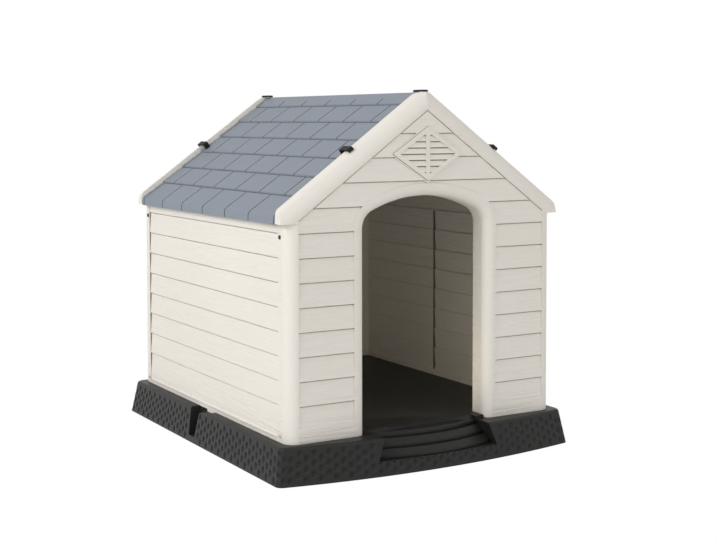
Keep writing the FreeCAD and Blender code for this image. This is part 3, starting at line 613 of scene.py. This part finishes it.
def vent_backing(shade):
    """Closes the louvres a few millimetres in, as moulded slats are; its colour is painted shade for their
    dark depth.
    """
    mesh = bmesh.new()
    front, back = (WALL_FACE + depth for depth in BACKING_DEPTHS)
    plate(mesh, vent_diamond(BACKING_GROWTH), None, front, back)
    added("vent_backing", mesh, "wall_plastic", shade)


def vent_gap_shade(shade):
    """A thin dark frame of painted shade that stands for the fine gap round the vent's plate."""
    mesh = bmesh.new()
    outer, inner = (vent_diamond(growth) for growth in GAP_GROWTHS)
    front, back = (WALL_FACE + depth for depth in GAP_DEPTHS)
    plate(mesh, outer, inner, front, back)
    added("vent_gap_shade", mesh, "wall_plastic", shade)


def seam_pair(name, shade, middle_out, along, height, size):
    """Two upright strips that stand alike on the left and on the right."""
    mesh = bmesh.new()
    for side in (-1, 1):
        place = Matrix.Translation((side * middle_out, along, height))
        bmesh.ops.create_cube(mesh, size=1.0, matrix=place @ Matrix.Diagonal((*size, 1.0)))
    added(name, mesh, "wall_plastic", shade)


def rear_gap_shades(shade):
    """Dark upright strips of painted shade that stand for the gap where each side wall meets the rear panel's
    flange.
    """
    middle_out = HOUSE_HALF + REAR_SEAM_PROUD - REAR_SEAM[0] / 2
    along = WALL_BACK - WRAP - REAR_SEAM_AHEAD
    seam_pair("rear_gap_shades", shade, middle_out, along, REAR_SEAM_HEIGHT, REAR_SEAM)


def inner_joint_shades(shade):
    """Dark upright strips of painted shade that stand for the joint inside each side wall, where the ribs of
    the two skins meet.
    """
    along = WALL_FACE + INNER_SEAM_BACK
    seam_pair("inner_joint_shades", shade, INNER_SEAM_OUT, along, INNER_SEAM_HEIGHT, INNER_SEAM)


def bead_ring(mesh, side, along, scale):
    """The corners of one upright oval round the bead's line."""
    corners = []
    for step in range(BEAD_SIDES):
        turn = math.tau * step / BEAD_SIDES
        out = HOUSE_HALF - BEAD_SINK + BEAD_HALF[0] * scale * math.cos(turn)
        height = BEAD_HEIGHT + BEAD_HALF[1] * scale * math.sin(turn)
        corners.append(mesh.verts.new((side * out, along, height)))
    return corners


def foot_beads(resin):
    """The rounded bead along the foot of each side wall, thinner towards its ends."""
    mesh = bmesh.new()
    start, end = WALL_FACE + WRAP + BEAD_GAP, WALL_BACK - WRAP - BEAD_GAP
    stations = [(start + away, scale) for away, scale in BEAD_ENDS]
    stations += [(end - away, scale) for away, scale in reversed(BEAD_ENDS)]
    for side in (-1, 1):
        closed_tube(mesh, [bead_ring(mesh, side, along, scale) for along, scale in stations], smooth=True)
    bmesh.ops.recalc_face_normals(mesh, faces=mesh.faces[:])
    added("foot_beads", mesh, "wall_plastic", resin)


# ---------------------------------------------------------------- screws

SCREW_INSET = 0.034
STEEL, PALE = 0, 1         # a screw's finish, as the place of its material on the piece
SCREWS = ((0.092, PALE), (0.504, STEEL))   # height and finish of the two at a corner
SCREW_PROFILE = (          # radius and distance from the wall's face, from the shank's tip to the head
    (0.0021, -0.0145), (0.0022, -0.0138), (0.0022, 0.0), (0.0045, 0.0),
    (0.0045, 0.0009), (0.0040, 0.0018), (0.0031, 0.0023), (0.0029, 0.00245))
RECESS_ARM = 0.0025
RECESS_HALF_WIDTH = 0.00062
RECESS_RINGS = ((1.0, 0.00245), (0.9, 0.0012))         # share of its size and place, at the rim and the floor
ON_ARM = 0.5               # degrees to the middle of an arm, within which the recess has its full reach
SCREW_SIDES = 48
SCREW_TURNS = [math.tau * step / SCREW_SIDES for step in range(SCREW_SIDES)]


def recess_reach(turn):
    """How far the cross recess reaches from the screw's axis in a direction."""
    from_arm = abs((math.degrees(turn) + 45.0) % 90.0 - 45.0)
    if from_arm <= ON_ARM:
        return RECESS_ARM
    return min(RECESS_ARM, RECESS_HALF_WIDTH / math.sin(math.radians(from_arm)))


def screw_ring(mesh, place, side, out, radii):
    """A ring of corners round the screw's axis, with a radius for each of its directions."""
    return [mesh.verts.new(place + Vector((side * out, radius * math.cos(turn), radius * math.sin(turn))))
            for radius, turn in zip(radii, SCREW_TURNS)]


def screw_head(mesh, place, side):
    """A pan head with a cross recess on a shank, its axis across the house; gives its faces."""
    rings = [screw_ring(mesh, place, side, out, [radius] * SCREW_SIDES) for radius, out in SCREW_PROFILE]
    for scale, out in RECESS_RINGS:
        rings.append(screw_ring(mesh, place, side, out, [recess_reach(turn) * scale for turn in SCREW_TURNS]))
    return closed_tube(mesh, rings)


def corner_screws(steel, pale):
    """The eight screws: dark ones under the eaves, pale ones at the foot."""
    for end, along in (("front", WALL_FACE + SCREW_INSET), ("rear", WALL_BACK - SCREW_INSET)):
        for word, side in (("left", -1), ("right", 1)):
            mesh = bmesh.new()
            for height, finish in SCREWS:
                for face in screw_head(mesh, Vector((side * HOUSE_HALF, along, height)), side):
                    face.material_index = finish
            bmesh.ops.recalc_face_normals(mesh, faces=mesh.faces[:])
            piece = added(f"screw_heads_{end}_{word}", mesh, "screw_steel", steel, pale)
            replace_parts(piece, f"screws_{end}_{word}")


# ---------------------------------------------------------------- stage

WHITE = (1.0, 1.0, 1.0, 1.0)
FLOOR_REACH = 12.0
FLOOR_COLOUR = (0.86, 0.86, 0.86, 1.0)
AIR_STRENGTH = 0.49
HOUSE_MIDDLE = (0, 0, 0.4)
DOORWAY_GLOW = (1.0, 0.9, 0.68)


def seen_or_mirrored(tree):
    """1 on rays that show the surface to the camera, straight or by a reflection or through glass."""
    path = node(tree, "ShaderNodeLightPath")
    mirrored = math_node(tree, "MAXIMUM", path.outputs["Is Glossy Ray"], path.outputs["Is Transmission Ray"])
    return math_node(tree, "MAXIMUM", path.outputs["Is Camera Ray"], mirrored)


def pale_floor():
    """A pale floor that throws light back on the house, and that the camera sees as plain white."""
    mesh = bpy.data.meshes.new("studio_floor")
    corners = [(x * FLOOR_REACH, y * FLOOR_REACH, 0) for x, y in ((-1, -1), (1, -1), (1, 1), (-1, 1))]
    mesh.from_pydata(corners, [], [(0, 1, 2, 3)])
    floor = bpy.data.objects.new("studio_floor", mesh)
    bpy.context.scene.collection.objects.link(floor)
    material, tree, shader = plastic("studio floor paint", roughness=0.9, specular=0.0)
    shader.inputs["Base Color"].default_value = FLOOR_COLOUR
    white = node(tree, "ShaderNodeEmission", Color=WHITE, Strength=1.0)
    mix = node(tree, "ShaderNodeMixShader")
    tree.links.new(seen_or_mirrored(tree), mix.inputs["Fac"])
    tree.links.new(shader.outputs["BSDF"], mix.inputs[1])
    tree.links.new(white.outputs["Emission"], mix.inputs[2])
    tree.links.new(mix.outputs["Shader"], tree.nodes["Material Output"].inputs["Surface"])
    mesh.materials.append(material)


def studio_air():
    """Even light from all round; the camera sees white."""
    world = bpy.data.worlds.new("studio_air")
    world.use_nodes = True
    tree = world.node_tree
    tree.nodes.clear()
    light = node(tree, "ShaderNodeBackground", Color=WHITE, Strength=AIR_STRENGTH)
    white = node(tree, "ShaderNodeBackground", Color=WHITE, Strength=1.0)
    mix = node(tree, "ShaderNodeMixShader")
    tree.links.new(seen_or_mirrored(tree), mix.inputs["Fac"])
    tree.links.new(light.outputs["Background"], mix.inputs[1])
    tree.links.new(white.outputs["Background"], mix.inputs[2])
    tree.links.new(mix.outputs["Shader"], node(tree, "ShaderNodeOutputWorld").inputs["Surface"])
    bpy.context.scene.world = world


def soft_box(name, place, aim, size, power, tint=WHITE[:3]):
    """A round studio lamp that the camera doesn't see."""
    data = bpy.data.lights.new(name, "AREA")
    data.shape = "DISK"
    data.size = size
    data.energy = power
    data.color = tint
    lamp = bpy.data.objects.new(name, data)
    bpy.context.scene.collection.objects.link(lamp)
    lamp.visible_camera = False
    lamp.location = place
    lamp.rotation_euler = (Vector(aim) - Vector(place)).to_track_quat("-Z", "Y").to_euler()


def studio():
    """A floor, even light, a large lamp at the left, a weaker one in front and a small one in the doorway."""
    pale_floor()
    studio_air()
    soft_box("left_box", place=(-3.8, -0.8, 2.4), aim=HOUSE_MIDDLE, size=2.2, power=80.0)
    soft_box("front_box", place=(0.6, -4.0, 2.4), aim=HOUSE_MIDDLE, size=2.4, power=27.0)
    soft_box("doorway_bounce", place=(-0.02, -0.31, 0.1), aim=(0.12, 0.12, 0.5), size=0.2, power=0.34,
             tint=DOORWAY_GLOW)
    bpy.context.scene.view_settings.view_transform = "Standard"


# ---------------------------------------------------------------- the house

photo_camera()
studio()
SHARED = {"wood": wood_emboss(), "boards": board_field(), "skin": moulded_skin(), "painted_groove_mask": groove_shade()}
wall_resin = wall_plastic(SHARED)
dress(wall_resin, "front_wall", "rear_wall", "left_wall", "right_wall", "gable_vent")
dress(roof_plastic(SHARED), "roof_left", "roof_right")
tray_resin = base_plastic(SHARED)
dress(tray_resin, "base_front", "base_rear")
dimpled_base(tray_resin)
dress(clip_plastic(SHARED), *[name for name in NODES if name.startswith("clip_")])
black_steel, pale_steel = screw_steel(SHARED), pale_screw(SHARED)
dress(black_steel, *[name for name in NODES if name.startswith("screws_")])
corner_screws(black_steel, pale_steel)
# painted shade: dark strips and plates that stand for the shaded depth of gaps and louvres
painted_seam_shade = seam_shade(SHARED)
vent_backing(painted_seam_shade)
inner_joint_shades(painted_seam_shade)
foot_beads(wall_resin)
vent_gap_shade(painted_seam_shade)
rear_gap_shades(painted_seam_shade)
